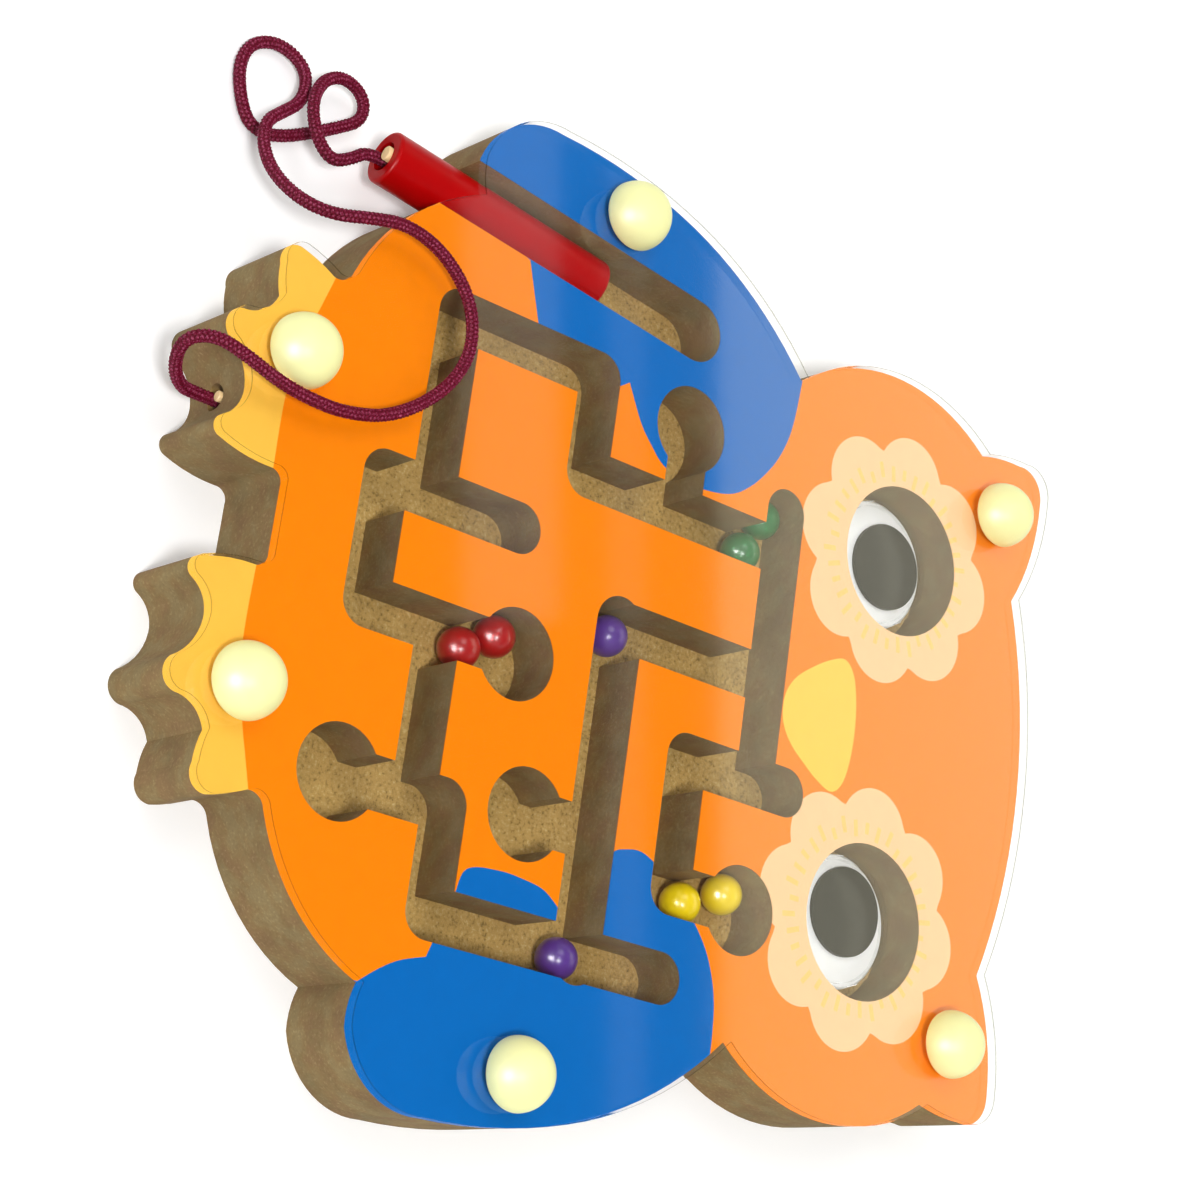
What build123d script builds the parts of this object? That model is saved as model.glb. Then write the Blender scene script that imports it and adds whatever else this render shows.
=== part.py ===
from build123d import *

import os
from math import acos, cos, radians, sin, tan

# Magnetic maze board, millimetres. The face looks up (+Z), the head points to
# +Y, and the origin is under the middle of the board, on its flat back.

# Board
board_width = 160.0
board_length = 174.0
board_thickness = 15.0
floor_thickness = 5.0
print_thickness = 0.2
cover_thickness = 2.0
cut_overrun = 1.0

# Maze
channel_width = 8.4
wide_channel_width = 9.6
pocket_radius = 7.4

# Balls
ball_diameter = 6.9
ball_floor_clearance = 0.1
ball_rim_clearance = 0.2

# Eyes
eye_pocket_radius = 13.3
eye_shift_x = -0.7
eye_shift_y = 0.35
eye_radius = 11.5
eye_back_thickness = 2.6
eye_back_bevel = 0.3
eye_wall = 0.7
eye_wall_height = 1.7
eye_dome_rise = 2.3
eye_lip = 0.3
pupil_radius = 7.7
pupil_thickness = 0.8
pupil_shift = 2.5
pupil_angles = {"a": 95.0, "b": 141.0}
pupil_floor_clearance = 0.1

# Plugs
plug_radius = 5.8
plug_lip = 0.8
plug_tenon_radius = 2.5
plug_tenon_length = 9.0
plug_clearance = 0.05
plug_tip_gap = 0.5

# Pen and its slot
slot_width = 10.7
slot_angle = 7.16
slot_run = 62.0
pen_diameter = 8.9
pen_length = 44.3
pen_tip_setback = 18.5
pen_floor_clearance = 0.1
pen_edge_round = 0.6
magnet_radius = 3.0
magnet_length = 4.0
magnet_clearance = 0.05

# Cord and the holes that hold it
cord_diameter = 2.2
pen_hole_radius = 2.5
pen_hole_depth = 8.0
pen_peg_radius = 1.2
pen_peg_rise = 1.2
pen_peg_length = 7.0
pen_peg_proud = 0.6
foot_hole_radius = 2.15
foot_hole_depth = 6.0
foot_hole_height = 7.2
foot_peg_radius = 0.85
foot_peg_rise = 1.05
foot_peg_length = 5.4
foot_peg_proud = 0.5
peg_bevel = 0.15

half_width = board_width / 2
half_length = board_length / 2
ball_radius = ball_diameter / 2
pen_radius = pen_diameter / 2
cord_radius = cord_diameter / 2
print_base = board_thickness
cover_base = print_base + print_thickness
cover_top = cover_base + cover_thickness
routed_depth = board_thickness - floor_thickness

# Right half of the outline, from the middle of the head down to the middle
# of the tail: each pair is a point on an arc and the arc's end, as shares of
# the half width and half length.
head_share = (0.0, 1.0)
outline_shares = [
    ((0.225, 0.982), (0.429, 0.932)),
    ((0.550, 0.977), (0.6875, 0.992)),
    ((0.736, 0.971), (0.750, 0.920)),
    ((0.7475, 0.868), (0.734, 0.808)),
    ((0.8225, 0.557), (0.715, 0.287)),
    ((0.844, 0.144), (0.9375, -0.030)),
    ((0.984, -0.200), (0.9985, -0.368)),
    ((0.965, -0.483), (0.869, -0.544)),
    ((0.825, -0.5437), (0.785, -0.5345)),
    ((0.6875, -0.672), (0.525, -0.769)),
    ((0.504, -0.783), (0.500, -0.808)),
    ((0.517, -0.842), (0.530, -0.882)),
    ((0.519, -0.909), (0.481, -0.917)),
    ((0.450, -0.915), (0.419, -0.908)),
    ((0.385, -0.929), (0.368, -0.965)),
    ((0.343, -0.9985), (0.306, -0.990)),
    ((0.268, -0.956), (0.221, -0.943)),
    ((0.184, -0.951), (0.156, -0.977)),
    ((0.133, -0.9885), (0.1165, -0.978)),
    ((0.101, -0.930), (0.094, -0.868)),
    ((0.087, -0.849), (0.066, -0.8425)),
]
tail_share = (0.0, -0.8425)

# Maze grid: columns from side A to side B as shares of the half width, rows
# from head to feet as shares of the half length.
column_share = {
    "a": -0.533, "b": -0.504, "c": -0.4125, "d": -0.324, "e": -0.161, "f": -0.043,
    "g": 0.0875, "h": 0.1755, "i": 0.388, "j": 0.4175, "k": 0.4456, "l": 0.625,
}
row_share = {
    1: 0.368, 2: 0.2885, 3: 0.117, 4: 0.026, 5: -0.081, 6: -0.2046, 7: -0.2345,
    8: -0.305, 9: -0.338, 10: -0.411, 11: -0.478, 12: -0.534, 13: -0.636,
}
channels = [
    ("c2", "h2"), ("h1", "h3"), ("h3", "k3"), ("k3", "k2"), ("f2", "f5"), ("l3", "l10"),
    ("l10", "j10"), ("j10", "j13"), ("g11", "j11"), ("g8", "g13"), ("e13", "g13"),
    ("e9", "e13"), ("a12", "e12"), ("a6", "a12"), ("a6", "d6"), ("d2", "d6"),
    ("b4", "d4"), ("i5", "i7"),
]
wide_channels = [("f5", "l5")]
pockets = ["g8", "j13", "i7", "k2", "b4"]

eye_place_share = {"a": (-0.415, 0.609), "b": (0.390, 0.609)}
plug_place_share = {
    "ear_a": (-0.599, 0.846), "ear_b": (0.599, 0.846),
    "wing_a": (-0.8825, -0.198), "wing_b": (0.8825, -0.198),
    "foot_a": (-0.3185, -0.861), "foot_b": (0.3185, -0.861),
}
slot_end_share = (-0.7194, 0.0075)
foot_hole_share = (-0.2225, -0.943)

# Balls at rest in a straight channel: column and share of the half length.
channel_balls = {
    "green_a": ("d", 0.247),
    "red_a": ("g", -0.378),
    "purple_a": ("f", -0.0506),
    "purple_b": ("l", -0.0655),
    "yellow_a": ("k", 0.2057),
}
# Balls at rest against the rim of a round pocket: pocket and angle.
pocket_balls = {"red_b": ("g8", 180.0), "yellow_b": ("k2", 157.0)}
end_balls = {"green_b": "c2"}


def place(shares):
    """Turns a pair of shares into a place on the board."""
    return shares[0] * half_width, shares[1] * half_length


def grid_place(name):
    """Turns a grid name such as c2 into a place on the board."""
    return column_share[name[0]] * half_width, row_share[int(name[1:])] * half_length


def build_outline():
    """The owl outline as one face, both halves of it."""
    arcs = []
    start = place(head_share)
    for middle_share, end_share in outline_shares:
        end = place(end_share)
        arcs.append(ThreePointArc(start, place(middle_share), end))
        start = end
    arcs.append(Line(start, place(tail_share)))
    right = Wire(arcs)
    left = right.mirror(Plane.YZ)
    return make_face(right.edges() + left.edges())


def slot_between(first, second, width):
    """A round-ended channel between two grid places."""
    x1, y1 = grid_place(first)
    x2, y2 = grid_place(second)
    long_side = abs(x2 - x1) + abs(y2 - y1)
    upright = 90 if abs(y2 - y1) > abs(x2 - x1) else 0
    middle = Location(((x1 + x2) / 2, (y1 + y2) / 2, 0), (0, 0, upright))
    return middle * SlotCenterToCenter(long_side, width)


def build_maze():
    """All channels and round pockets of the maze in plan."""
    maze = Sketch()
    for first, second in channels:
        maze += slot_between(first, second, channel_width)
    for first, second in wide_channels:
        maze += slot_between(first, second, wide_channel_width)
    for name in pockets:
        maze += Pos(*grid_place(name)) * Circle(pocket_radius)
    return maze


def slot_frame():
    """Frame of the pen slot: X points out along the slot, Z up."""
    x, y = place(slot_end_share)
    return Location((x, y, 0), (0, 0, -90 - slot_angle))


def build_pen_slot():
    """The pen slot in plan, closed at its inner end and open at the outer."""
    run = Pos(slot_run / 2, 0) * Rectangle(slot_run, slot_width)
    return slot_frame() * (Circle(slot_width / 2) + run)


def build_routing():
    """Everything that is routed from the face, in plan."""
    routing = build_maze() + build_pen_slot()
    for shares in eye_place_share.values():
        routing += Pos(*place(shares)) * Circle(eye_pocket_radius)
    return routing


def plug_holes():
    """The holes of the six plug tenons in plan."""
    holes = Sketch()
    for shares in plug_place_share.values():
        holes += Pos(*place(shares)) * Circle(plug_tenon_radius + plug_clearance)
    return holes


def foot_hole_frame():
    """Frame of the cord hole in the foot: Z points out of its mouth."""
    x, y = place(foot_hole_share)
    return Location((x, y, foot_hole_height), (90, 0, 0))


def build_board(outline, routing, holes):
    """The routed board."""
    hole_depth = plug_tenon_length - print_thickness - cover_thickness + plug_tip_gap
    body = extrude(outline, board_thickness)
    body -= Pos(0, 0, floor_thickness) * extrude(routing, routed_depth + cut_overrun)
    body -= Pos(0, 0, board_thickness - hole_depth) * extrude(holes, hole_depth + cut_overrun)
    hole_length = foot_hole_depth + foot_hole_radius
    drill = Pos(0, 0, foot_hole_radius - hole_length / 2) * Cylinder(foot_hole_radius, hole_length)
    return body - foot_hole_frame() * drill


def build_plug(shares):
    """A turned dome plug with a rounded lip and its tenon."""
    dome_height = plug_lip + plug_radius
    flat_radius = plug_radius - plug_lip
    with BuildPart() as plug:
        with BuildSketch(Plane.XZ):
            with BuildLine():
                Line((0, -plug_tenon_length), (plug_tenon_radius, -plug_tenon_length))
                Line((plug_tenon_radius, -plug_tenon_length), (plug_tenon_radius, 0))
                Line((plug_tenon_radius, 0), (flat_radius, 0))
                RadiusArc((flat_radius, 0), (plug_radius, plug_lip), -plug_lip)
                RadiusArc((plug_radius, plug_lip), (0, dome_height), -plug_radius)
                Line((0, dome_height), (0, -plug_tenon_length))
            make_face()
        revolve(axis=Axis.Z)
    x, y = place(shares)
    return Pos(x, y, cover_top) * plug.part


def eye_centre(side):
    """Centre of an eye on the floor of its pocket."""
    x, y = place(eye_place_share[side])
    return x + eye_shift_x, y + eye_shift_y, floor_thickness


def build_eye_back(side):
    """The flat back of an eye, its top edge bevelled."""
    disc = extrude(Circle(eye_radius), eye_back_thickness)
    disc = chamfer(disc.edges().sort_by(Axis.Z)[-1], eye_back_bevel)
    return Pos(*eye_centre(side)) * disc


def dome_arc(radius, base, rise):
    """An arc over the axis from its foot at the radius to its crown."""
    bulge = (radius * radius + rise * rise) / (2 * rise)
    half_turn = acos((bulge - rise) / bulge) / 2
    middle = (bulge * sin(half_turn), base + rise - bulge * (1 - cos(half_turn)))
    return ThreePointArc((radius, base), middle, (0, base + rise))


def build_eye_dome(side):
    """The clear dome of an eye: an upright wall under a shallow crown."""
    outer = eye_radius - eye_lip
    inner = outer - eye_wall
    with BuildPart() as dome:
        with BuildSketch(Plane.XZ):
            with BuildLine():
                Line((inner, 0), (outer, 0))
                Line((outer, 0), (outer, eye_wall_height))
                add(dome_arc(outer, eye_wall_height, eye_dome_rise))
                crown = eye_wall_height + eye_dome_rise
                Line((0, crown), (0, crown - eye_wall))
                inner_rise = eye_dome_rise - eye_wall / 2
                inner_base = crown - eye_wall - inner_rise
                add(dome_arc(inner, inner_base, inner_rise))
                Line((inner, inner_base), (inner, 0))
            make_face()
        revolve(axis=Axis.Z)
    x, y, z = eye_centre(side)
    return Pos(x, y, z + eye_back_thickness) * dome.part


def build_pupil(side):
    """The loose disc of an eye, rolled towards the dome's wall."""
    x, y, z = eye_centre(side)
    angle = radians(pupil_angles[side])
    lift = z + eye_back_thickness + pupil_floor_clearance
    centre = (x + pupil_shift * cos(angle), y + pupil_shift * sin(angle), lift)
    return Pos(*centre) * extrude(Circle(pupil_radius), pupil_thickness)


def ball_places():
    """Centres of the eight balls at rest."""
    centres = {}
    for name, (column, row) in channel_balls.items():
        centres[name] = (column_share[column] * half_width, row * half_length)
    for name, grid in end_balls.items():
        centres[name] = grid_place(grid)
    rim = pocket_radius - ball_radius - ball_rim_clearance
    for name, (grid, angle) in pocket_balls.items():
        x, y = grid_place(grid)
        centres[name] = (x + rim * cos(radians(angle)), y + rim * sin(radians(angle)))
    return centres


def pen_frame():
    """Frame of the pen: origin on its axis at the tip, Z out of the slot."""
    height = floor_thickness + pen_floor_clearance + pen_radius
    return slot_frame() * Pos(pen_tip_setback, 0, height) * Rot(0, 90, 0)


def build_pen():
    """The pen: a round stick with a magnet bore and a cord hole."""
    stick = extrude(Circle(pen_radius), pen_length)
    stick = fillet(stick.edges(), pen_edge_round)
    bore = extrude(Circle(magnet_radius + magnet_clearance), magnet_length)
    hole = Pos(0, 0, pen_length - pen_hole_depth) * extrude(Circle(pen_hole_radius), pen_hole_depth)
    return pen_frame() * (stick - bore - hole)


def build_peg(radius, length):
    """A round peg with bevelled ends, its outer end at the origin."""
    peg = extrude(Circle(radius), -length)
    return chamfer(peg.edges().group_by(Axis.Z)[-1], peg_bevel)


def build_pen_peg():
    """The peg beside the cord in the pen's end."""
    peg = build_peg(pen_peg_radius, pen_peg_length)
    return pen_frame() * Pos(-pen_peg_rise, 0, pen_length + pen_peg_proud) * peg


def build_foot_peg():
    """The peg beside the cord in the foot."""
    peg = build_peg(foot_peg_radius, foot_peg_length)
    return foot_hole_frame() * Pos(0, foot_peg_rise, foot_peg_proud) * peg


# Route of the cord from the pen's end to the foot, chosen by hand.
cord_route = [
    (-65.2, -58.9, 8.25), (-65.8, -63.7, 8.25), (-63.2, -66.7, 8.2), (-61.5, -70.0, 8.0),
    (-64.3, -73.3, 7.9), (-69.8, -74.8, 7.3), (-74.9, -72.8, 6.0), (-77.6, -69.1, 4.9),
    (-77.7, -65.3, 3.9), (-75.9, -62.8, 3.2), (-73.0, -62.9, 2.7), (-70.9, -65.9, 2.3),
    (-68.2, -70.3, 1.9), (-65.6, -74.9, 1.7), (-64.4, -78.9, 1.4), (-65.3, -82.0, 1.3),
    (-68.8, -83.9, 1.2), (-73.9, -85.2, 1.2), (-78.0, -83.9, 1.2), (-80.0, -80.3, 1.3),
    (-79.6, -76.6, 1.6), (-77.4, -74.0, 2.2), (-73.9, -74.0, 3.4), (-69.9, -75.6, 4.9),
    (-66.3, -79.4, 6.6), (-63.5, -82.2, 7.4), (-59.0, -82.5, 8.2), (-54.2, -80.9, 10.3),
    (-50.4, -77.7, 13.6), (-48.6, -73.3, 16.9), (-49.5, -67.8, 19.5), (-50.7, -61.8, 19.9),
    (-49.6, -55.2, 19.3), (-46.2, -49.6, 18.8), (-41.3, -46.5, 18.7), (-35.4, -46.0, 18.7),
    (-29.6, -48.5, 18.7), (-24.3, -53.4, 18.7), (-20.3, -59.4, 18.7), (-18.4, -66.3, 18.8),
    (-18.1, -73.0, 19.2), (-18.7, -79.4, 19.8), (-20.4, -85.6, 20.3), (-21.9, -90.6, 19.4),
    (-21.3, -93.6, 16.0), (-18.9, -92.6, 12.0), (-17.0, -89.3, 8.6), (-17.8, -84.8, 6.25),
    (-17.8, -80.2, 6.25),
]
corner_share = 0.45


def build_cord():
    """The cord: straight runs joined by tangent arcs, with its volume check."""
    points = [Vector(*point) for point in cord_route]
    runs = [b - a for a, b in zip(points, points[1:])]
    radii = []
    for before, after in zip(runs, runs[1:]):
        half_turn = radians(before.get_angle(after)) / 2
        radii.append(corner_share * min(before.length, after.length) / tan(half_turn))
    path = FilletPolyline(*points, radius=radii)
    start = Plane(origin=points[0], z_dir=runs[0])
    tube = sweep(start * Circle(cord_radius), path=path)
    section = Circle(cord_radius).area
    print("cord length", round(path.length, 1), "runs added", round(sum(r.length for r in runs), 1))
    print("cord radii", [round(radius, 1) for radius in radii])
    print("cord volume over section times length", round(tube.volume / section / path.length, 4))
    return tube


def build_parts():
    """Every piece under its node name."""
    outline = build_outline()
    routing = build_routing()
    holes = plug_holes()
    parts = {
        "board": build_board(outline, routing, holes),
        "face_print": Pos(0, 0, print_base) * extrude(outline - routing - holes, print_thickness),
        "clear_cover": Pos(0, 0, cover_base) * extrude(outline - holes, cover_thickness),
    }
    for name, shares in plug_place_share.items():
        parts["plug_" + name] = build_plug(shares)
    for side in eye_place_share:
        parts["eye_back_" + side] = build_eye_back(side)
        parts["eye_dome_" + side] = build_eye_dome(side)
        parts["pupil_" + side] = build_pupil(side)
    ball_height = floor_thickness + ball_floor_clearance + ball_radius
    for name, (x, y) in ball_places().items():
        parts["ball_" + name] = Pos(x, y, ball_height) * Sphere(ball_radius)
    parts["pen"] = build_pen()
    parts["pen_magnet"] = pen_frame() * extrude(Circle(magnet_radius), magnet_length)
    parts["pen_peg"] = build_pen_peg()
    parts["board_peg"] = build_foot_peg()
    parts["cord"] = build_cord()
    return parts


os.makedirs("parts", exist_ok=True)
for node, shape in build_parts().items():
    export_step(shape, "parts/" + node + ".step")
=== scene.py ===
# Magnetic maze board: an owl cut from MDF, with a printed face and painted steel balls under clear acrylic.
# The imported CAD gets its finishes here, the printed face and the braided cord are made,
# and all is lit as photographed.
import bpy
from math import pi, radians, sin, cos, sqrt
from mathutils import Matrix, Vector
from mathutils.geometry import delaunay_2d_cdt


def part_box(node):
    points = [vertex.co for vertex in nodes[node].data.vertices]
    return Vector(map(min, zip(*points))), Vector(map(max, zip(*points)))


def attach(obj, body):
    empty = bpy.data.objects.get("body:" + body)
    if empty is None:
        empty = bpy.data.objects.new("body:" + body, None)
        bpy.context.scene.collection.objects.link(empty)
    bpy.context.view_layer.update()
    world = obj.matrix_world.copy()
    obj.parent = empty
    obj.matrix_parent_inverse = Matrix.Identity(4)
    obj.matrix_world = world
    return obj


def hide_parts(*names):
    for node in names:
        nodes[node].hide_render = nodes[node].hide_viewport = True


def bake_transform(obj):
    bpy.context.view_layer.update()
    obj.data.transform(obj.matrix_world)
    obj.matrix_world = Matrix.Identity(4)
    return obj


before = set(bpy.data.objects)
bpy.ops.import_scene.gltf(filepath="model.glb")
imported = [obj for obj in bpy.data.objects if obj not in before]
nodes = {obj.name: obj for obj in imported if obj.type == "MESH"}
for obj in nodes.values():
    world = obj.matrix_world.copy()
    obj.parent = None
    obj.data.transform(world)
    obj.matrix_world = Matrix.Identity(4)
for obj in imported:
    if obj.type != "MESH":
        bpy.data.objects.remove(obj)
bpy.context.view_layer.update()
scene = bpy.context.scene
mm = 0.001
sides = ("a", "b")
mixA, mixB, mixOut = 6, 7, 2     # a Mix node's colour sockets, because its number sockets have the same names
straightThrough = 1.01           # an IOR that hardly bends light, for clear pieces too thin to bend much


def linear(code):
    # sRGB hex to the linear colour that a shader wants
    parts = [int(code[i:i + 2], 16) / 255 for i in (1, 3, 5)]
    return tuple(c / 12.92 if c <= 0.04045 else ((c + 0.055) / 1.055) ** 2.4 for c in parts) + (1.0,)


def add(tree, kind, inputs=None, **settings):
    # one node, its settings, and its sockets set or linked
    node = tree.nodes.new(kind)
    for name, value in settings.items():
        setattr(node, name, value)
    for key, value in (inputs or {}).items():
        if isinstance(value, bpy.types.NodeSocket):
            tree.links.new(value, node.inputs[key])
        else:
            node.inputs[key].default_value = value
    return node


def newMaterial(name):
    material = bpy.data.materials.new(name)
    material.use_nodes = True
    material.node_tree.nodes.clear()
    return material, material.node_tree


def setFinish(name, material):
    # a CAD node keeps its mesh and takes a new material
    data = nodes[name].data
    if not data.materials:
        data.materials.append(material)
    for slot in nodes[name].material_slots:
        slot.material = material


def newObject(name, data, materials=()):
    piece = bpy.data.objects.new(name, data)
    scene.collection.objects.link(piece)
    for material in materials:
        data.materials.append(material)
    return piece


def standAt(piece, across, up, back, place):
    # the piece's own axes and its place are the columns of its matrix
    for column, axis in enumerate((across, up, back, place)):
        for row in range(3):
            piece.matrix_world[row][column] = axis[row]


cameraSettings = {
    "place": (131.41 * mm, -281.94 * mm, 364.64 * mm),
    "right": (-0.129528, 0.758816, 0.638295),
    "down": (0.945908, 0.287662, -0.150027),
    "lens": 87.356,
    "sensor": 36,
    "shift": (-0.00127, 0.00063),
    "clip": (0.01, 20),
}


def makeCamera(s):
    data = bpy.data.cameras.new("camera")
    data.lens = s["lens"]
    data.sensor_width = s["sensor"]
    data.shift_x, data.shift_y = s["shift"]
    data.clip_start, data.clip_end = s["clip"]
    camera = newObject("camera", data)
    right = Vector(s["right"])
    up = -Vector(s["down"])
    standAt(camera, right, up, right.cross(up), s["place"])
    scene.camera = camera


makeCamera(cameraSettings)
print("camera set")


# the cord's route in mm, from the pen's end: two loose loops beside the board, over its edge, into the foot
cordRoute = (
    (-65.2, -58.9, 8.25), (-65.8, -63.7, 8.25), (-63.2, -66.7, 8.2), (-61.5, -70.0, 8.0),
    (-64.3, -73.3, 7.9), (-69.8, -74.8, 7.3), (-74.9, -72.8, 6.0), (-77.6, -69.1, 4.9),
    (-77.7, -65.3, 3.9), (-75.9, -62.8, 3.2), (-73.0, -62.9, 2.7), (-70.9, -65.9, 2.3),
    (-68.2, -70.3, 1.9), (-65.6, -74.9, 1.7), (-64.4, -78.9, 1.4), (-65.3, -82.0, 1.3),
    (-68.8, -83.9, 1.2), (-73.9, -85.2, 1.2), (-78.0, -83.9, 1.2), (-80.0, -80.3, 1.3),
    (-79.6, -76.6, 1.6), (-77.4, -74.0, 2.2), (-73.9, -74.0, 3.4), (-69.9, -75.6, 4.9),
    (-66.3, -79.4, 6.6), (-63.5, -82.2, 7.4), (-59.0, -82.5, 8.2), (-54.2, -80.9, 10.3),
    (-50.4, -77.7, 13.6), (-48.6, -73.3, 16.9), (-49.5, -67.8, 19.5), (-50.7, -61.8, 19.9),
    (-49.6, -55.2, 19.3), (-46.2, -49.6, 18.8), (-41.3, -46.5, 18.7), (-35.4, -46.0, 18.7),
    (-29.6, -48.5, 18.7), (-24.3, -53.4, 18.7), (-20.3, -59.4, 18.7), (-18.4, -66.3, 18.8),
    (-18.1, -73.0, 19.2), (-18.7, -79.4, 19.8), (-20.4, -85.6, 20.3), (-21.9, -90.6, 19.4),
    (-21.3, -93.6, 16.0), (-18.9, -92.6, 12.0), (-17.0, -89.3, 8.6), (-17.8, -84.8, 6.25),
    (-17.8, -80.2, 6.25),
)

cordSettings = {
    "length": 238.6 * mm,
    "diameter": 2.2 * mm,
    "strandsEachWay": 4,
    "pitch": 2.75 * mm,          # one full turn of a strand
    "strandRadius": 0.34 * mm,
    "weaveDepth": 0.12 * mm,     # how far a strand rises over and dips under
    "coreRadius": 0.62 * mm,
    "stepsPerCrossing": 2.75,
    "filament": 0.333 * mm,      # drawn coarse, because a real one is too fine to show
    # painted shade where a strand dives, the dye's own maroon, painted light on a crown and a painted glint
    # at its top
    "under": "#280006",
    "maroon": "#560216",
    "crown": "#700B2C",
    "paintedGlint": "#A84A6A",
}


def cordMaterial(s):
    # braided polyester: dyed filament strands with a random fibre tone, painted shade where they dive and
    # painted light and a painted glint where a crown rises
    material, tree = newMaterial("maroon polyester braid")
    rise = add(tree, "ShaderNodeAttribute", attribute_name="rise").outputs["Fac"]
    place = add(tree, "ShaderNodeTexCoord").outputs["Object"]
    fibres = add(tree, "ShaderNodeTexNoise", {"Vector": place, "Scale": 1 / s["filament"], "Detail": 2.0})
    raised = add(tree, "ShaderNodeMath", {0: rise, 1: 0.7}, operation="MULTIPLY")
    mixed = add(tree, "ShaderNodeMath", {
        0: fibres.outputs["Fac"], 1: 0.5, 2: raised.outputs["Value"]}, operation="MULTIPLY_ADD")
    # the ramp runs from painted shade through the dye's maroon to painted light and a painted glint
    tone = add(tree, "ShaderNodeValToRGB", {"Fac": mixed.outputs["Value"]})
    ramp = tone.color_ramp
    ramp.elements[0].position, ramp.elements[0].color = 0.25, linear(s["under"])
    ramp.elements[1].position, ramp.elements[1].color = 1.0, linear(s["paintedGlint"])
    ramp.elements.new(0.62).color = linear(s["maroon"])
    ramp.elements.new(0.86).color = linear(s["crown"])
    bump = add(tree, "ShaderNodeBump", {
        "Height": fibres.outputs["Fac"], "Strength": 0.4, "Distance": 0.04 * mm})
    shader = add(tree, "ShaderNodeBsdfPrincipled", {
        "Base Color": tone.outputs["Color"], "Roughness": 0.6, "Specular IOR Level": 0.08,
        "Normal": bump.outputs["Normal"]})
    add(tree, "ShaderNodeOutputMaterial", {"Surface": shader.outputs["BSDF"]})
    return material


def readRoute(points):
    # the smooth line of a NURBS spline through the route, as mesh points
    curve = bpy.data.curves.new("cordLine", "CURVE")
    curve.dimensions = "3D"
    curve.resolution_u = 24
    spline = curve.splines.new("NURBS")
    spline.points.add(len(points) - 1)
    for point, place in zip(spline.points, points):
        point.co = [c * mm for c in place] + [1.0]
    spline.order_u = 3
    spline.use_endpoint_u = True
    line = newObject("cordLine", curve)
    bpy.context.view_layer.update()
    mesh = bpy.data.meshes.new_from_object(line.evaluated_get(bpy.context.evaluated_depsgraph_get()))
    bpy.data.objects.remove(line)
    return mesh


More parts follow.
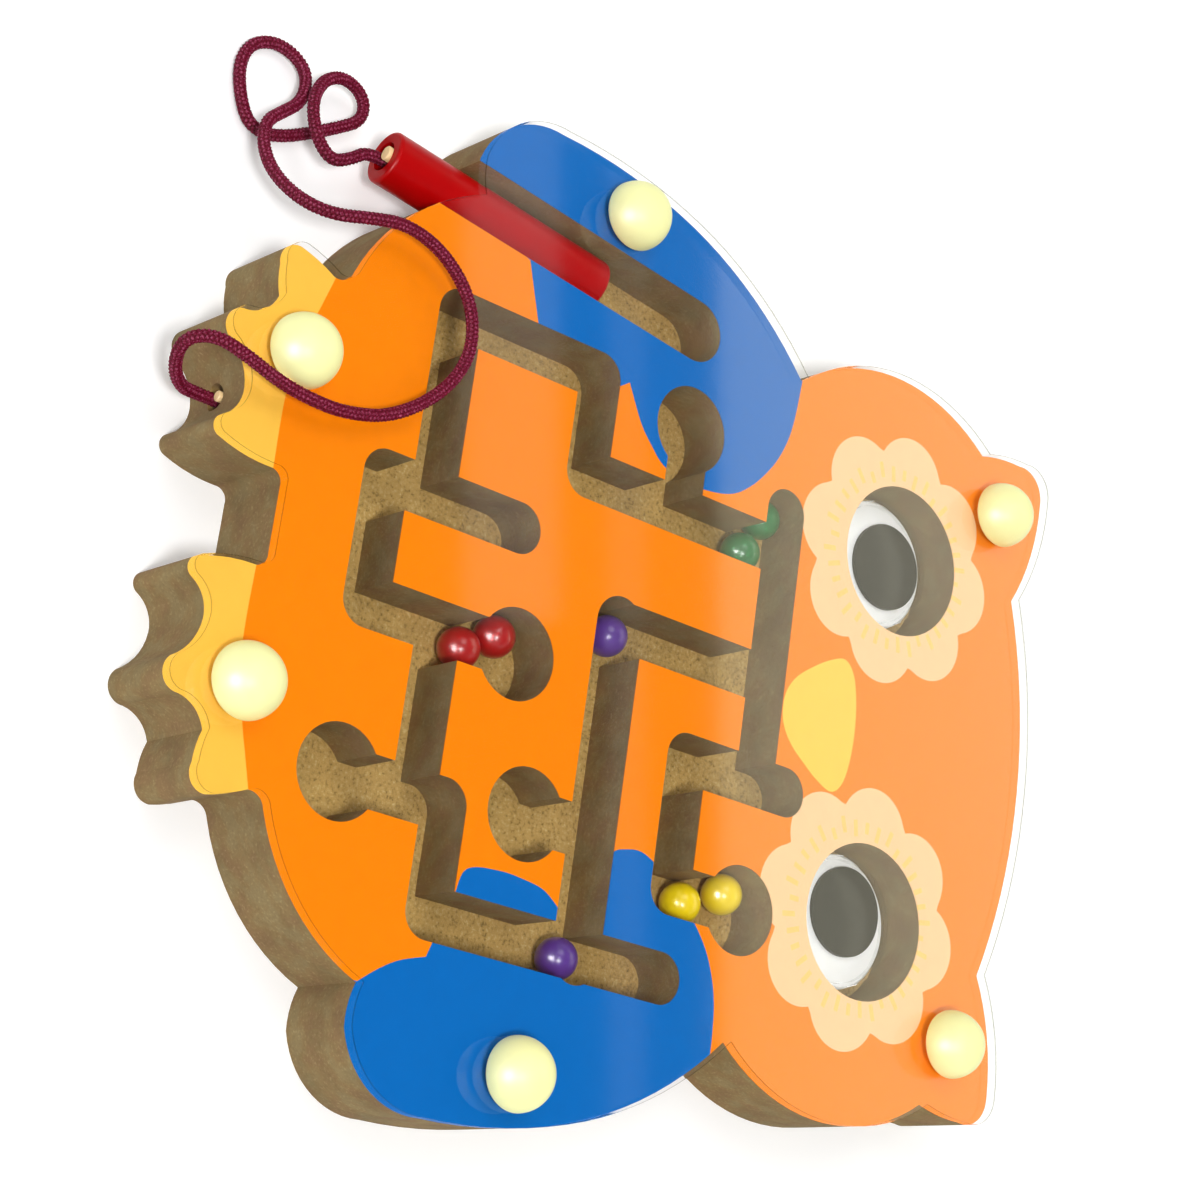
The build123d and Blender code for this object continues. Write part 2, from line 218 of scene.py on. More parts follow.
def braidTree(material):
    # strands of both hands wound round the line, each passing over one and under one, on a plain core
    tree = bpy.data.node_groups.new("roundBraid", "GeometryNodeTree")
    tree.interface.new_socket("Line", in_out="INPUT", socket_type="NodeSocketGeometry")
    tree.interface.new_socket("Strands each way", in_out="INPUT", socket_type="NodeSocketInt")
    for name in ("Pitch", "Cord radius", "Strand radius", "Weave depth", "Core radius",
                 "Steps per crossing", "Length"):
        tree.interface.new_socket(name, in_out="INPUT", socket_type="NodeSocketFloat")
    tree.interface.new_socket("Braid", in_out="OUTPUT", socket_type="NodeSocketGeometry")
    given = add(tree, "NodeGroupInput").outputs
    math, vector = "ShaderNodeMath", "ShaderNodeVectorMath"
    perWay, pitch, weave = given["Strands each way"], given["Pitch"], given["Weave depth"]

    # the line, with points enough for the steps of every crossing, and a copy of it for each strand
    strandCount = add(tree, math, {0: perWay, 1: 2.0}, operation="MULTIPLY").outputs["Value"]
    allTurns = add(tree, math, {0: given["Length"], 1: pitch}, operation="DIVIDE").outputs["Value"]
    crossings = add(tree, math, {0: allTurns, 1: strandCount}, operation="MULTIPLY").outputs["Value"]
    steps = add(tree, math, {0: crossings, 1: given["Steps per crossing"]}, operation="MULTIPLY")
    line = add(tree, "GeometryNodeMeshToCurve", {"Mesh": given["Line"]}).outputs["Curve"]
    line = add(tree, "GeometryNodeResampleCurve", {
        "Curve": line, "Count": steps.outputs["Value"]}).outputs["Curve"]
    copies = add(tree, "GeometryNodeDuplicateElements", {"Geometry": line, "Amount": strandCount},
                 domain="SPLINE").outputs
    copyIndex = copies["Duplicate Index"]

    # every other strand is left-handed, and each pair starts further round than the last
    odd = add(tree, math, {0: copyIndex, 1: 2.0}, operation="MODULO").outputs["Value"]
    hand = add(tree, math, {0: odd, 1: 2.0, 2: -1.0}, operation="MULTIPLY_ADD").outputs["Value"]
    pair = add(tree, math, {0: copyIndex, 1: 2.0}, operation="DIVIDE").outputs["Value"]
    pair = add(tree, math, {0: pair}, operation="FLOOR").outputs["Value"]
    start = add(tree, math, {0: pair, 1: perWay}, operation="DIVIDE").outputs["Value"]
    along = add(tree, "GeometryNodeSplineParameter").outputs["Length"]
    turns = add(tree, math, {0: along, 1: pitch}, operation="DIVIDE").outputs["Value"]
    turned = add(tree, math, {0: turns, 1: hand, 2: start}, operation="MULTIPLY_ADD").outputs["Value"]
    angle = add(tree, math, {0: turned, 1: 2 * pi}, operation="MULTIPLY").outputs["Value"]

    # a strand rises over one crossing and dips under the next
    crossed = add(tree, math, {0: turns, 1: strandCount}, operation="MULTIPLY").outputs["Value"]
    crossed = add(tree, math, {0: crossed, 1: pi}, operation="MULTIPLY").outputs["Value"]
    wave = add(tree, math, {0: crossed}, operation="COSINE").outputs["Value"]
    rise = add(tree, math, {0: hand, 1: wave}, operation="MULTIPLY").outputs["Value"]
    middle = add(tree, math, {0: given["Cord radius"], 1: given["Strand radius"]}, operation="SUBTRACT")
    middle = add(tree, math, {0: middle.outputs["Value"], 1: weave}, operation="SUBTRACT").outputs["Value"]
    radius = add(tree, math, {0: rise, 1: weave, 2: middle}, operation="MULTIPLY_ADD").outputs["Value"]
    normal = add(tree, "GeometryNodeInputNormal").outputs["Normal"]
    tangent = add(tree, "GeometryNodeInputTangent").outputs["Tangent"]
    across = add(tree, vector, {0: tangent, 1: normal}, operation="CROSS_PRODUCT").outputs["Vector"]
    parts = []
    for direction, turn in ((normal, "COSINE"), (across, "SINE")):
        share = add(tree, math, {0: angle}, operation=turn).outputs["Value"]
        reach = add(tree, math, {0: radius, 1: share}, operation="MULTIPLY").outputs["Value"]
        parts.append(add(tree, vector, {0: direction, "Scale": reach}, operation="SCALE").outputs["Vector"])
    offset = add(tree, vector, {0: parts[0], 1: parts[1]}, operation="ADD").outputs["Vector"]

    # strands and core as closed tubes, with the rise kept for the painted shade and painted light on the
    # strands
    height = add(tree, math, {0: rise, 1: 0.5, 2: 0.5}, operation="MULTIPLY_ADD").outputs["Value"]
    shaded = add(tree, "GeometryNodeStoreNamedAttribute", {
        "Geometry": copies["Geometry"], "Name": "rise", "Value": height})
    strands = add(tree, "GeometryNodeSetPosition", {
        "Geometry": shaded.outputs["Geometry"], "Offset": offset})
    strandRound = add(tree, "GeometryNodeCurvePrimitiveCircle", {
        "Resolution": 5, "Radius": given["Strand radius"]})
    strandMesh = add(tree, "GeometryNodeCurveToMesh", {
        "Curve": strands.outputs["Geometry"], "Profile Curve": strandRound.outputs["Curve"],
        "Fill Caps": True})
    coreRound = add(tree, "GeometryNodeCurvePrimitiveCircle", {
        "Resolution": 6, "Radius": given["Core radius"]})
    coreMesh = add(tree, "GeometryNodeCurveToMesh", {
        "Curve": line, "Profile Curve": coreRound.outputs["Curve"], "Fill Caps": True})
    both = add(tree, "GeometryNodeJoinGeometry", {"Geometry": coreMesh.outputs["Mesh"]})
    tree.links.new(strandMesh.outputs["Mesh"], both.inputs["Geometry"])
    smooth = add(tree, "GeometryNodeSetShadeSmooth", {"Geometry": both.outputs["Geometry"]})
    real = add(tree, "GeometryNodeRealizeInstances", {"Geometry": smooth.outputs["Geometry"]})
    dyed = add(tree, "GeometryNodeSetMaterial", {
        "Geometry": real.outputs["Geometry"], "Material": material})
    add(tree, "NodeGroupOutput", {"Braid": dyed.outputs["Geometry"]})
    return tree


def applyTree(name, mesh, tree, values):
    # run a Geometry Nodes tree on a mesh and keep the result as a plain mesh
    source = newObject("source", mesh)
    modifier = source.modifiers.new("tree", "NODES")
    modifier.node_group = tree
    for socket in tree.interface.items_tree:
        if socket.in_out == "INPUT" and socket.name in values:
            modifier[socket.identifier] = values[socket.name]
    bpy.context.view_layer.update()
    made = bpy.data.meshes.new_from_object(source.evaluated_get(bpy.context.evaluated_depsgraph_get()))
    bpy.data.objects.remove(source)
    return newObject(name, made)


def makeCord(s):
    line = readRoute(cordRoute)
    path = [tuple(v.co) for v in line.vertices]
    penEnd = Vector(cordRoute[0]) * mm
    if (Vector(path[0]) - penEnd).length > (Vector(path[-1]) - penEnd).length:
        path.reverse()
    lineLength = sum((Vector(p) - Vector(q)).length for p, q in zip(path, path[1:]))
    cord = applyTree("braidedCord", line, braidTree(cordMaterial(s)), {
        "Strands each way": s["strandsEachWay"], "Pitch": s["pitch"], "Cord radius": s["diameter"] / 2,
        "Strand radius": s["strandRadius"], "Weave depth": s["weaveDepth"], "Core radius": s["coreRadius"],
        "Steps per crossing": s["stepsPerCrossing"], "Length": lineLength})
    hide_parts("cord")
    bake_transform(cord)
    print("cord braided,", len(cord.data.polygons), "faces,", round(lineLength / mm, 1), "mm along its line")


makeCord(cordSettings)


studio = {
    "floorSize": 40.0,
    "floor": "#F4F4F4",
    "floorLift": 0.18,           # keeps the paper white round the board, and its shadows pale
    "farLift": (0.4, 1.6),       # metres out over which the paper brightens, to stay white to the horizon
    "fill": 0.42,                # the even light that the room gives all round
    # what gloss mirrors at the sine of each height: white horizon, pale walls, dark ceiling
    "room": ((0.06, 1.0), (0.20, 0.50), (0.62, 0.50), (0.74, 0.02)),
}

# place and size in metres, and power in watts; each lamp faces the board
# a panel has the direction of its long edge too, and one has a colour
lamps = {
    "key": {"place": (0.40, -0.46, 1.07), "size": (0.2, 0.2), "watts": 8.6},
    # low on the left, and only for the gloss of the plugs
    "low softbox": {"place": (0.30, -0.85, 0.41), "size": (0.45, 0.45), "watts": 22.0, "glossOnly": True},
    "overhead softbox": {"place": (-0.45, -0.25, 1.0), "size": (0.5, 0.5), "watts": 1.9},
    # white panels that the acrylic mirrors: one over the head and two fine bands over the body
    "mirrored panel": {"place": (-0.516, 1.298, 1.076), "size": (1.8, 0.6), "watts": 4.0,
                       "edge": (0.953, 0.273, 0.126), "colour": "#FFFBDC"},
    "fine band": {"place": (-0.517, 1.0, 1.294), "size": (0.80, 0.028), "watts": 0.02,
                  "edge": (0.946, 0.288, 0.15)},
    "broad band": {"place": (-0.691, 0.886, 1.329), "size": (0.42, 0.071), "watts": 0.045,
                   "edge": (0.916, 0.336, 0.218)},
}


def makeLamp(name, s):
    data = bpy.data.lights.new(name, "AREA")
    data.shape = "RECTANGLE"
    data.size, data.size_y = s["size"]
    data.energy = s["watts"]
    data.color = linear(s.get("colour", "#FFFFFF"))[:3]
    lamp = newObject(name, data)
    lamp.visible_diffuse = not s.get("glossOnly", False)
    back = Vector(s["place"]).normalized()
    across = Vector(s.get("edge", (1.0, 0.0, 0.0)))
    across = (across - back * across.dot(back)).normalized()
    standAt(lamp, across, back.cross(across), back, s["place"])


def paperMaterial(s):
    # seamless studio paper: matt and even, and white wherever the camera, gloss or a clear piece sees it
    material, tree = newMaterial("white studio paper")
    ray = add(tree, "ShaderNodeLightPath").outputs
    seen = add(tree, "ShaderNodeMath", {0: ray["Is Camera Ray"], 1: ray["Is Glossy Ray"]}, operation="ADD")
    seen = add(tree, "ShaderNodeMath", {
        0: seen.outputs["Value"], 1: ray["Is Transmission Ray"]}, operation="ADD", use_clamp=True)
    place = add(tree, "ShaderNodeTexCoord").outputs["Object"]
    away = add(tree, "ShaderNodeVectorMath", {0: place}, operation="LENGTH")
    lift = add(tree, "ShaderNodeMapRange", {
        "Value": away.outputs["Value"], "From Min": s["farLift"][0], "From Max": s["farLift"][1],
        "To Min": s["floorLift"]})
    glow = add(tree, "ShaderNodeMath", {
        0: seen.outputs["Value"], 1: lift.outputs["Result"]}, operation="MULTIPLY")
    shader = add(tree, "ShaderNodeBsdfPrincipled", {
        "Base Color": linear(s["floor"]), "Roughness": 0.9, "Specular IOR Level": 0.0,
        "Emission Color": linear("#FFFFFF"), "Emission Strength": glow.outputs["Value"]})
    add(tree, "ShaderNodeOutputMaterial", {"Surface": shader.outputs["BSDF"]})
    return material


def makeFloor(s):
    half = s["floorSize"] / 2
    corners = [(-half, -half, 0), (half, -half, 0), (half, half, 0), (-half, half, 0)]
    mesh = bpy.data.meshes.new("floor")
    mesh.from_pydata(corners, [], [(0, 1, 2, 3)])
    newObject("floor", mesh, [paperMaterial(s)])


def makeWorld(s):
    # the camera sees white, gloss and clear pieces see the room, and all else gets its even light
    world = bpy.data.worlds.new("studio")
    scene.world = world
    world.use_nodes = True
    tree = world.node_tree
    tree.nodes.clear()
    direction = add(tree, "ShaderNodeTexCoord").outputs["Generated"]
    height = add(tree, "ShaderNodeSeparateXYZ", {"Vector": direction}).outputs["Z"]
    room = add(tree, "ShaderNodeValToRGB", {"Fac": height})
    shades = room.color_ramp.elements
    shades.remove(shades[1])
    for position, level in s["room"]:
        shades.new(position).color = (level, level, level, 1.0)
    shades[0].color = shades[1].color
    ray = add(tree, "ShaderNodeLightPath").outputs
    mirrored = add(tree, "ShaderNodeMath", {
        0: ray["Is Glossy Ray"], 1: ray["Is Transmission Ray"]}, operation="MAXIMUM")
    lit = add(tree, "ShaderNodeMix", {
        "Factor": mirrored.outputs["Value"], mixA: (s["fill"],) * 3 + (1.0,), mixB: room.outputs["Color"]},
        data_type="RGBA")
    sky = add(tree, "ShaderNodeMix", {
        "Factor": ray["Is Camera Ray"], mixA: lit.outputs[mixOut], mixB: linear("#FFFFFF")}, data_type="RGBA")
    light = add(tree, "ShaderNodeBackground", {"Color": sky.outputs[mixOut], "Strength": 1.0})
    add(tree, "ShaderNodeOutputWorld", {"Surface": light.outputs["Background"]})


makeFloor(studio)
makeWorld(studio)
for lampName, lampSettings in lamps.items():
    makeLamp(lampName, lampSettings)
scene.view_settings.view_transform = "Standard"
print("floor and lights set")


mdfSettings = {
    "wall": "#8C7348",
    "rust": "#8A6D46",
    "moss": "#8E7A50",
    "flat": "#B89656",
    "fleckDark": "#5E4C2A",
    "fleckPale": "#D8C48C",
    "stainSize": 3.85 * mm,
    "fibreSize": 0.526 * mm,     # clumps of fibre ends, because single fibres are too fine to show
    "cloudSize": 6.25 * mm,
}


def mdfMaterial(s):
    # raw medium density fibreboard, sawn and routed: short fibres lying flat, and the upright faces darker
    # than the flat ones
    material, tree = newMaterial("routed MDF")
    place = add(tree, "ShaderNodeTexCoord").outputs["Object"]
    normal = add(tree, "ShaderNodeNewGeometry").outputs["Normal"]
    facing = add(tree, "ShaderNodeSeparateXYZ", {"Vector": normal}).outputs["Z"]
    flatness = add(tree, "ShaderNodeMapRange", {
        "Value": facing, "From Min": 0.3, "From Max": 0.9}).outputs["Result"]

    # walls are stained, from rust to moss, and the flat floors are one paler tone
    stains = add(tree, "ShaderNodeTexNoise", {"Vector": place, "Scale": 1 / s["stainSize"], "Detail": 4.0})
    stained = add(tree, "ShaderNodeValToRGB", {"Fac": stains.outputs["Fac"]})
    ramp = stained.color_ramp
    ramp.elements[0].position, ramp.elements[0].color = 0.38, linear(s["rust"])
    ramp.elements[1].position, ramp.elements[1].color = 0.62, linear(s["moss"])
    ramp.elements.new(0.5).color = linear(s["wall"])
    ground = add(tree, "ShaderNodeMix", {
        "Factor": flatness, mixA: stained.outputs["Color"], mixB: linear(s["flat"])}, data_type="RGBA")

    # dark and pale fibre ends, plainest on the flat
    fibres = add(tree, "ShaderNodeTexNoise", {
        "Vector": place, "Scale": 1 / s["fibreSize"], "Detail": 3.0, "Roughness": 0.6})
    strength = add(tree, "ShaderNodeMapRange", {
        "Value": flatness, "To Min": 0.22, "To Max": 0.70}).outputs["Result"]
    dark = add(tree, "ShaderNodeMapRange", {
        "Value": fibres.outputs["Fac"], "From Min": 0.47, "From Max": 0.30, "To Max": strength})
    pale = add(tree, "ShaderNodeMapRange", {
        "Value": fibres.outputs["Fac"], "From Min": 0.56, "From Max": 0.74, "To Max": strength})
    darkened = add(tree, "ShaderNodeMix", {
        "Factor": dark.outputs["Result"], mixA: ground.outputs[mixOut], mixB: linear(s["fleckDark"])},
        data_type="RGBA")
    flecked = add(tree, "ShaderNodeMix", {
        "Factor": pale.outputs["Result"], mixA: darkened.outputs[mixOut], mixB: linear(s["fleckPale"])},
        data_type="RGBA")

    # broad, soft shading over all
    clouds = add(tree, "ShaderNodeTexNoise", {"Vector": place, "Scale": 1 / s["cloudSize"], "Detail": 2.0})
    shade = add(tree, "ShaderNodeMapRange", {
        "Value": clouds.outputs["Fac"], "From Min": 0.35, "From Max": 0.65, "To Min": 0.88, "To Max": 1.08})
    tone = add(tree, "ShaderNodeHueSaturation", {
        "Color": flecked.outputs[mixOut], "Value": shade.outputs["Result"]})
    bump = add(tree, "ShaderNodeBump", {
        "Height": fibres.outputs["Fac"], "Strength": 0.25, "Distance": 0.12 * mm})
    shader = add(tree, "ShaderNodeBsdfPrincipled", {
        "Base Color": tone.outputs["Color"], "Roughness": 0.85, "Specular IOR Level": 0.2,
        "Normal": bump.outputs["Normal"]})
    add(tree, "ShaderNodeOutputMaterial", {"Surface": shader.outputs["BSDF"]})
    return material


setFinish("board", mdfMaterial(mdfSettings))
print("board finished")


printSettings = {
    "top": 15.16 * mm,
    "bottom": 15.02 * mm,
    "body": "#FF8700",
    "wing": "#006ABE",
    "foot": "#FFC44A",
    "beak": "#FFCF4E",
    "petal": "#FFCF9B",
    "ray": "#FFCF78",
    "mottleSize": 2.5 * mm,
}
inkOrder = ("body", "wing", "foot", "beak", "petal", "ray")     # a later ink prints over an earlier one

# sizes in mm: a flower's ring of petals round each eye, and the faint dabs on it, some moved out or cut short
flower = {"x": 32.0, "shift": -1.1, "y": 51.5, "spread": 15.2, "petal": 7.6, "count": 8, "turn": radians(5),
          "pointsEach": 16}
rays = {"count": 36, "from": 13.8, "to": 16.6, "width": 0.9, "movedOut": 0.7, "cutShort": 0.8}

# inner edges of the wings and feet in mm, on side b; side a is their mirror, but for the wing's shoulder
shoulders = {
    "a": ((57.0, 25.2), (50.0, 24.5), (45.0, 23.3), (40.0, 20.8), (35.0, 16.5), (32.0, 11.5), (31.0, 3.0),
          (32.3, -2.5), (35.0, -5.8), (38.0, -8.5), (43.7, -11.8)),
    "b": ((57.4, 22.5), (52.0, 22.1), (47.5, 20.9), (43.0, 18.6), (38.5, 14.6), (34.5, 9.8), (31.4, 4.0),
          (31.6, 0.0), (33.0, -3.0), (38.0, -8.5), (43.7, -11.8)),
}
wingEdges = (
    ((43.7, -11.8), (41.7, -15.0), (41.0, -19.0), (40.8, -24.0), (42.0, -30.0), (47.0, -31.7), (53.0, -33.8),
     (56.5, -35.0)),
    ((56.5, -35.0), (58.0, -39.5), (60.0, -43.0), (62.6, -46.4)),
)
footEdge = ((7.0, -75.0), (20.0, -75.0), (30.0, -73.0), (35.0, -71.5), (39.8, -70.0))
beakEdge = (
    (-0.3, 46.2), (5.0, 45.8), (9.3, 44.6), (11.3, 42.3), (10.2, 38.8), (8.0, 35.2), (5.6, 32.0), (2.8, 30.0),
    (-0.3, 29.4), (-3.4, 30.0), (-6.2, 32.0), (-8.7, 35.2), (-10.9, 38.8), (-12.0, 42.3), (-9.9, 44.6),
    (-5.6, 45.8),
)
outside = 100.0      # mm, well clear of the board, where wings and feet may overrun
wingBottom = -52.0
footSide = 45.0
curveSteps = 6       # steps of a smooth line between two of its points


def smoothLine(points, closed=False):
    # a cubic curve that passes through every point, with its slope there set by the two beside it
    count = len(points)
    line = []
    for i in range(count if closed else count - 1):
        if closed:
            p = [points[(i + k) % count] for k in (-1, 0, 1, 2)]
        else:
            p = [points[max(0, min(count - 1, i + k))] for k in (-1, 0, 1, 2)]
        for step in range(curveSteps):
            t = step / curveSteps
            line.append(tuple(
                0.5 * (2 * p[1][c] + (p[2][c] - p[0][c]) * t
                       + (2 * p[0][c] - 5 * p[1][c] + 4 * p[2][c] - p[3][c]) * t * t
                       + (3 * p[1][c] - p[0][c] - 3 * p[2][c] + p[3][c]) * t ** 3) for c in (0, 1)))
    if not closed:
        line.append(tuple(points[-1]))
    return line


def flowerLine(s, sign):
    # petals are arcs of circles set round a ring
    line = []
    half = pi / s["count"]
    total = s["count"] * s["pointsEach"]
    for k in range(total):
        angle = 2 * pi * k / total
        off = (angle - s["turn"] + half) % (2 * half) - half
        radius = s["spread"] * cos(off) + sqrt(s["petal"] ** 2 - (s["spread"] * sin(off)) ** 2)
        line.append((sign * s["x"] + s["shift"] + radius * sin(angle), s["y"] + radius * cos(angle)))
    return line


def rayLines(s, sign):
    # radial dabs round the eye: every second one moved out, every third one cut short
    dabs = []
    middle = Vector((sign * flower["x"] + flower["shift"], flower["y"]))
    for k in range(s["count"]):
        angle = 2 * pi * k / s["count"]
        along = Vector((sin(angle), cos(angle)))
        across = Vector((along.y, -along.x)) * s["width"] / 2
        inner = middle + along * (s["from"] + s["movedOut"] * (k % 2))
        outer = inner + along * (s["to"] - s["from"] - s["cutShort"] * (k % 3 == 0))
        dabs.append([tuple(p) for p in (inner - across, outer - across, outer + across, inner + across)])
    return dabs


def inkShapes():
    # every printed shape in mm, with its ink; what none of them covers is the body
    shapes = []
    for side, sign in (("b", 1), ("a", -1)):
        shapes.append(("petal", flowerLine(flower, sign)))
        shapes += [("ray", line) for line in rayLines(rays, sign)]
        wing = [p for part in (shoulders[side],) + wingEdges for p in smoothLine(part)[:-1]]
        tip = wingEdges[-1][-1]
        wing += [tip, (tip[0], wingBottom), (outside, wingBottom), (outside, wing[0][1])]
        shapes.append(("wing", [(sign * x, y) for x, y in wing]))
        foot = smoothLine(footEdge)
        foot += [(footSide, foot[-1][1]), (footSide, -outside), (foot[0][0], -outside)]
        shapes.append(("foot", [(sign * x, y) for x, y in foot]))
    shapes.append(("beak", smoothLine(beakEdge, closed=True)))
    return shapes


def openEdges(faces):
    # the edges that only one face has, each with that face's number
    edges = {}
    for number, face in enumerate(faces):
        for a, b in zip(face, face[1:] + face[:1]):
            if (b, a) in edges:
                del edges[(b, a)]
            else:
                edges[(a, b)] = number
    return edges


def filmLoops(mesh, height):
    # the outlines of the printed sheet's top face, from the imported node
    lowest = height - 0.01 * mm
    ids = {}
    faces = []
    for polygon in mesh.polygons:
        corners = [mesh.vertices[i].co for i in polygon.vertices]
        if min(c.z for c in corners) >= lowest:
            faces.append([ids.setdefault((round(c.x, 7), round(c.y, 7)), len(ids)) for c in corners])
    places = {index: place for place, index in ids.items()}
    follow = {a: b for a, b in openEdges(faces)}
    loops = []
    while follow:
        point = next(iter(follow))
        loop = []
        while point in follow:
            loop.append(places[point])
            point = follow.pop(point)
        loops.append(loop)
    return loops


def turnedLeft(loop):
    area = sum(p[0] * q[1] - p[1] * q[0] for p, q in zip(loop, loop[1:] + loop[:1]))
    return loop if area > 0 else loop[::-1]


def inkMaterial(name, colour, mottleSize):
    # ink on coated paper, glued under the acrylic: flat and even, with the faintest mottle
    material, tree = newMaterial(name)
    place = add(tree, "ShaderNodeTexCoord").outputs["Object"]
    mottle = add(tree, "ShaderNodeTexNoise", {"Vector": place, "Scale": 1 / mottleSize, "Detail": 3.0})
    value = add(tree, "ShaderNodeMapRange", {
        "Value": mottle.outputs["Fac"], "From Min": 0.3, "From Max": 0.7, "To Min": 0.975, "To Max": 1.02})
    tone = add(tree, "ShaderNodeHueSaturation", {"Color": linear(colour), "Value": value.outputs["Result"]})
    shader = add(tree, "ShaderNodeBsdfPrincipled", {
        "Base Color": tone.outputs["Color"], "Roughness": 0.45, "Specular IOR Level": 0.05})
    add(tree, "ShaderNodeOutputMaterial", {"Surface": shader.outputs["BSDF"]})
    return material


def makePrint(s):
    # the film's outlines and the inks' shapes cut one another into triangles, and each takes its topmost ink
    film = filmLoops(nodes["face_print"].data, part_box("face_print")[1][2])
    shapes = inkShapes()
    loops = [turnedLeft(loop) for loop in film]
    loops += [turnedLeft([(x * mm, y * mm) for x, y in line]) for _, line in shapes]
    points = []
    faces = []
    for loop in loops:
        faces.append(list(range(len(points), len(points) + len(loop))))
        points += [Vector((x, y)) for x, y in loop]
    wholeHull, nearest = 0, 1e-7     # how much is filled, and the distance at which points merge
    places, _, triangles, _, _, owners = delaunay_2d_cdt(points, [], faces, wholeHull, nearest)
    kept = []
    inks = []
    for triangle, inside in zip(triangles, owners):
        if sum(1 for k in inside if k < len(film)) % 2 == 0:
            continue
        names = [shapes[k - len(film)][0] for k in inside if k >= len(film)]
        kept.append(list(triangle))
        inks.append(max((inkOrder.index(name) for name in names), default=0))

    # the triangles on top, turned over beneath, and a wall round every open edge
    count = len(places)
    vertices = [(p.x, p.y, s["top"]) for p in places] + [(p.x, p.y, s["bottom"]) for p in places]
    polygons = kept + [[i + count for i in reversed(triangle)] for triangle in kept]
    inks += inks
    for (a, b), number in openEdges(kept).items():
        polygons.append([b, a, a + count, b + count])
        inks.append(inks[number])
    used = sorted({i for face in polygons for i in face})
    renumber = {old: new for new, old in enumerate(used)}
    mesh = bpy.data.meshes.new("printedFace")
    mesh.from_pydata([vertices[i] for i in used], [], [[renumber[i] for i in face] for face in polygons])
    piece = newObject("printedFace", mesh, [
        inkMaterial("printed " + name, s[name], s["mottleSize"]) for name in inkOrder])
    for polygon, ink in zip(mesh.polygons, inks):
        polygon.material_index = ink
    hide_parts("face_print")
    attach(piece, "board")
    print("face printed,", len(mesh.polygons), "faces")


makePrint(printSettings)


coverSettings = {
    "clear": "#FFFFFF",
    "edgeLine": "#A2A298",       # the sawn arris along the top edge, seen as a fine grey line
    "edgeHeight": 0.3 * mm,
    "ior": 1.49,
}


def outputClear(tree, shader, colour):
    # lamps, and light scattered from what lies beneath, pass straight through a clear piece
    ray = add(tree, "ShaderNodeLightPath").outputs
    either = add(tree, "ShaderNodeMath", {
        0: ray["Is Shadow Ray"], 1: ray["Is Diffuse Ray"]}, operation="MAXIMUM")
    through = add(tree, "ShaderNodeBsdfTransparent", {"Color": linear(colour)})
    mixed = add(tree, "ShaderNodeMixShader", {
        0: either.outputs["Value"], 1: shader.outputs["BSDF"], 2: through.outputs["BSDF"]})
    add(tree, "ShaderNodeOutputMaterial", {"Surface": mixed.outputs["Shader"]})


def coverMaterial(s):
    # cast acrylic sheet: gloss on its faces, and next to none on its sawn edges
    material, tree = newMaterial("clear cast acrylic")
    place = add(tree, "ShaderNodeTexCoord").outputs["Object"]
    height = add(tree, "ShaderNodeSeparateXYZ", {"Vector": place}).outputs["Z"]
    normal = add(tree, "ShaderNodeNewGeometry").outputs["Normal"]
    facing = add(tree, "ShaderNodeSeparateXYZ", {"Vector": normal}).outputs["Z"]
    levelness = add(tree, "ShaderNodeMath", {0: facing}, operation="ABSOLUTE").outputs["Value"]
    upright = add(tree, "ShaderNodeMath", {0: levelness, 1: 0.5}, operation="LESS_THAN").outputs["Value"]
    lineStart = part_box("clear_cover")[1][2] - s["edgeHeight"]
    near = add(tree, "ShaderNodeMath", {0: height, 1: lineStart}, operation="GREATER_THAN").outputs["Value"]
    arris = add(tree, "ShaderNodeMath", {0: upright, 1: near}, operation="MULTIPLY").outputs["Value"]
    tint = add(tree, "ShaderNodeMix", {
        "Factor": arris, mixA: linear(s["clear"]), mixB: linear(s["edgeLine"])}, data_type="RGBA")
    gloss = add(tree, "ShaderNodeMapRange", {"Value": upright, "To Min": 1.0, "To Max": 0.08})
    shader = add(tree, "ShaderNodeBsdfPrincipled", {
        "Base Color": tint.outputs[mixOut], "Roughness": 0.0, "IOR": straightThrough,
        "Transmission Weight": 1.0, "Coat Weight": gloss.outputs["Result"], "Coat IOR": s["ior"],
        "Coat Roughness": 0.05})
    outputClear(tree, shader, s["clear"])
    return material


setFinish("clear_cover", coverMaterial(coverSettings))

eyeSettings = {
    "white": "#FAFCFC",
    "pupil": "#0E0D0D",
    "dome": "#FFFFFF",
    # painted shade: a faint grey where the clear side stands upright
    "domeRimPaintedShade": "#E2E4E2",        # where the dome's side stands upright
    "domeIor": 1.52,
}


def domeMaterial(s):
    # clear moulded styrene: a soft gloss over the eye, and a faint painted shade of grey where its side
    # stands upright at the rim
    material, tree = newMaterial("clear styrene dome")
    normal = add(tree, "ShaderNodeNewGeometry").outputs["Normal"]
    facing = add(tree, "ShaderNodeSeparateXYZ", {"Vector": normal}).outputs["Z"]
    levelness = add(tree, "ShaderNodeMath", {0: facing}, operation="ABSOLUTE").outputs["Value"]
    flatness = add(tree, "ShaderNodeMapRange", {"Value": levelness, "From Min": 0.1, "From Max": 0.8})
    tint = add(tree, "ShaderNodeMix", {
        "Factor": flatness.outputs["Result"], mixA: linear(s["domeRimPaintedShade"]), mixB: linear(s["dome"])},
        data_type="RGBA")
    shader = add(tree, "ShaderNodeBsdfPrincipled", {
        "Base Color": tint.outputs[mixOut], "Roughness": 0.0, "IOR": straightThrough,
        "Transmission Weight": 1.0, "Coat Weight": 0.15, "Coat IOR": s["domeIor"], "Coat Roughness": 0.1})
    outputClear(tree, shader, s["dome"])
    return material


unevenness = 2.86 * mm           # width of the slow waves that a moulded or painted surface has


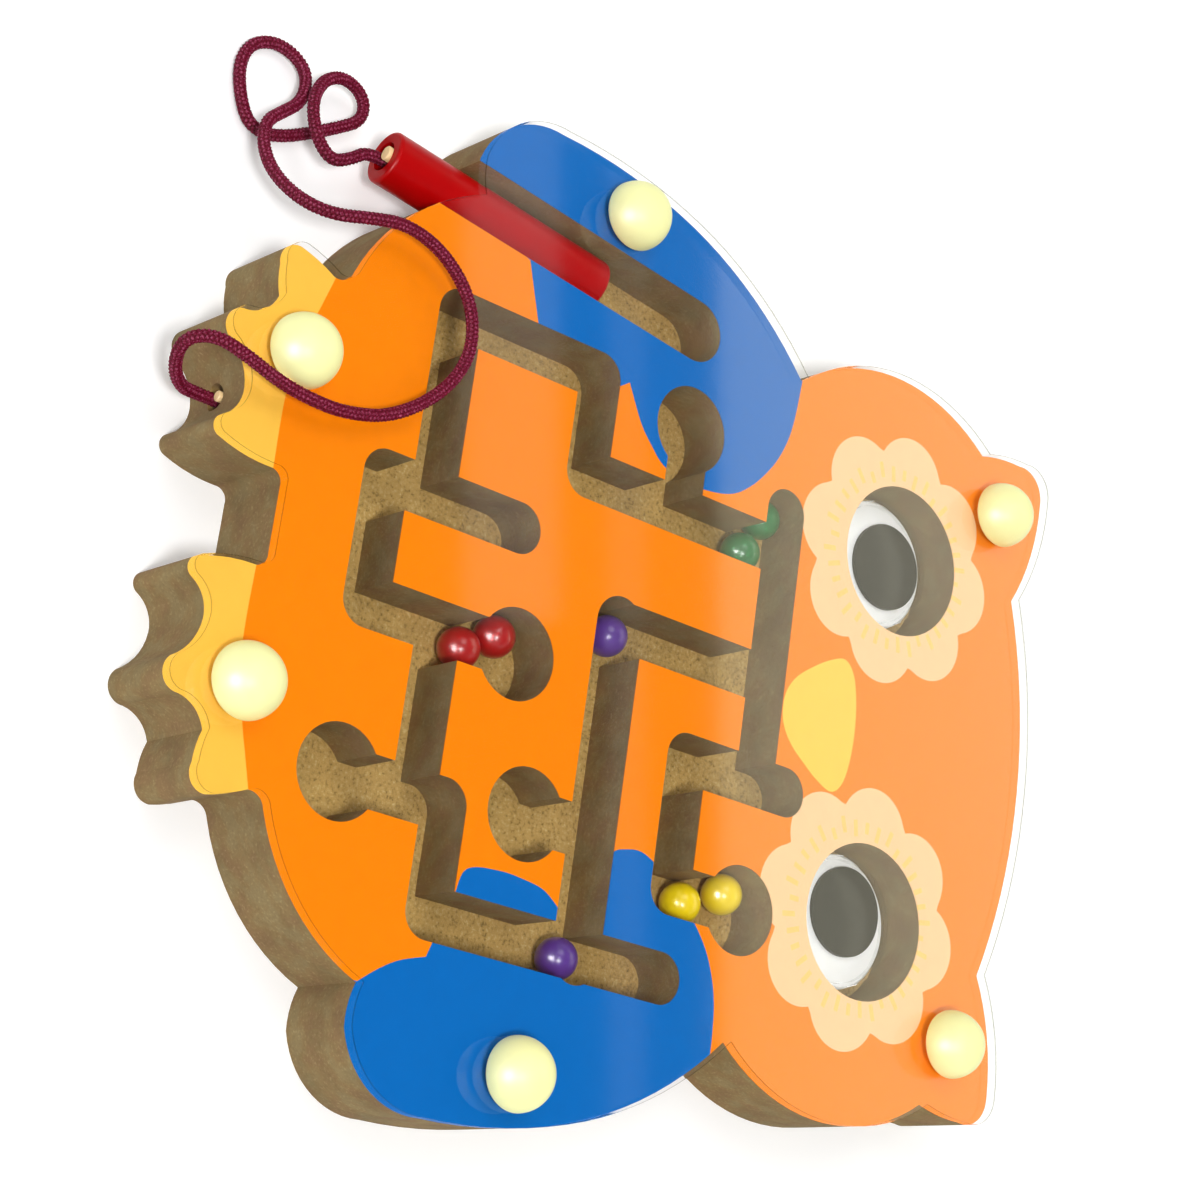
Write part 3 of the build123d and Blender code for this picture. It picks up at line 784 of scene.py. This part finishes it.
def solidMaterial(name, colour, roughness, coat=0.0, specular=0.5, bumps=0.15):
    # moulded or painted solid colour, with a trace of unevenness in its tone and its surface
    material, tree = newMaterial(name)
    place = add(tree, "ShaderNodeTexCoord").outputs["Object"]
    noise = add(tree, "ShaderNodeTexNoise", {"Vector": place, "Scale": 1 / unevenness, "Detail": 3.0})
    value = add(tree, "ShaderNodeMapRange", {
        "Value": noise.outputs["Fac"], "From Min": 0.3, "From Max": 0.7, "To Min": 0.97, "To Max": 1.03})
    tone = add(tree, "ShaderNodeHueSaturation", {"Color": linear(colour), "Value": value.outputs["Result"]})
    bump = add(tree, "ShaderNodeBump", {
        "Height": noise.outputs["Fac"], "Strength": bumps, "Distance": 0.1 * mm})
    shader = add(tree, "ShaderNodeBsdfPrincipled", {
        "Base Color": tone.outputs["Color"], "Roughness": roughness, "Specular IOR Level": specular,
        "Coat Weight": coat, "Coat Roughness": 0.2, "Normal": bump.outputs["Normal"]})
    add(tree, "ShaderNodeOutputMaterial", {"Surface": shader.outputs["BSDF"]})
    return material


# moulded styrene: a clean white with a slight shine behind the dome, and a dull, nearly black disc
eyeWhite = solidMaterial("white styrene", eyeSettings["white"], 0.35)
eyeClear = domeMaterial(eyeSettings)
pupilDark = solidMaterial("dark styrene", eyeSettings["pupil"], 0.4, specular=0.15)
for side in sides:
    setFinish("eye_back_" + side, eyeWhite)
    setFinish("eye_dome_" + side, eyeClear)
    setFinish("pupil_" + side, pupilDark)
print("cover and eyes finished")


# name, colour and roughness of each finish: enamel and lacquer shine softly, and a peg is bare wood
paints = {
    "plug": ("pale yellow enamel", "#FFFFB6", 0.42),
    "pen": ("red lacquer", "#B20003", 0.34),
    "magnet": ("nickel-plated magnet", "#B8B8B4", 0.3),
    "peg": ("cream birch peg", "#FFDCA0", 0.6),
}
# thick enamel on steel: a clear, sharp shine over an even colour
ballColours = {"green": "#0E7038", "red": "#B01010", "purple": "#5A3490", "yellow": "#FFE000"}
ballRoughness = 0.35

plugPaint = solidMaterial(*paints["plug"])
for place in ("ear", "wing", "foot"):
    for side in sides:
        setFinish("plug_%s_%s" % (place, side), plugPaint)
setFinish("pen", solidMaterial(*paints["pen"], coat=0.08, specular=0.08))
setFinish("pen_magnet", solidMaterial(*paints["magnet"]))
pegWood = solidMaterial(*paints["peg"])
setFinish("pen_peg", pegWood)
setFinish("board_peg", pegWood)
for colour, code in ballColours.items():
    paint = solidMaterial(
        colour + " enamelled steel", code, ballRoughness, coat=1.0, specular=0.3, bumps=0.03)
    for side in sides:
        setFinish("ball_%s_%s" % (colour, side), paint)
print("paint done")
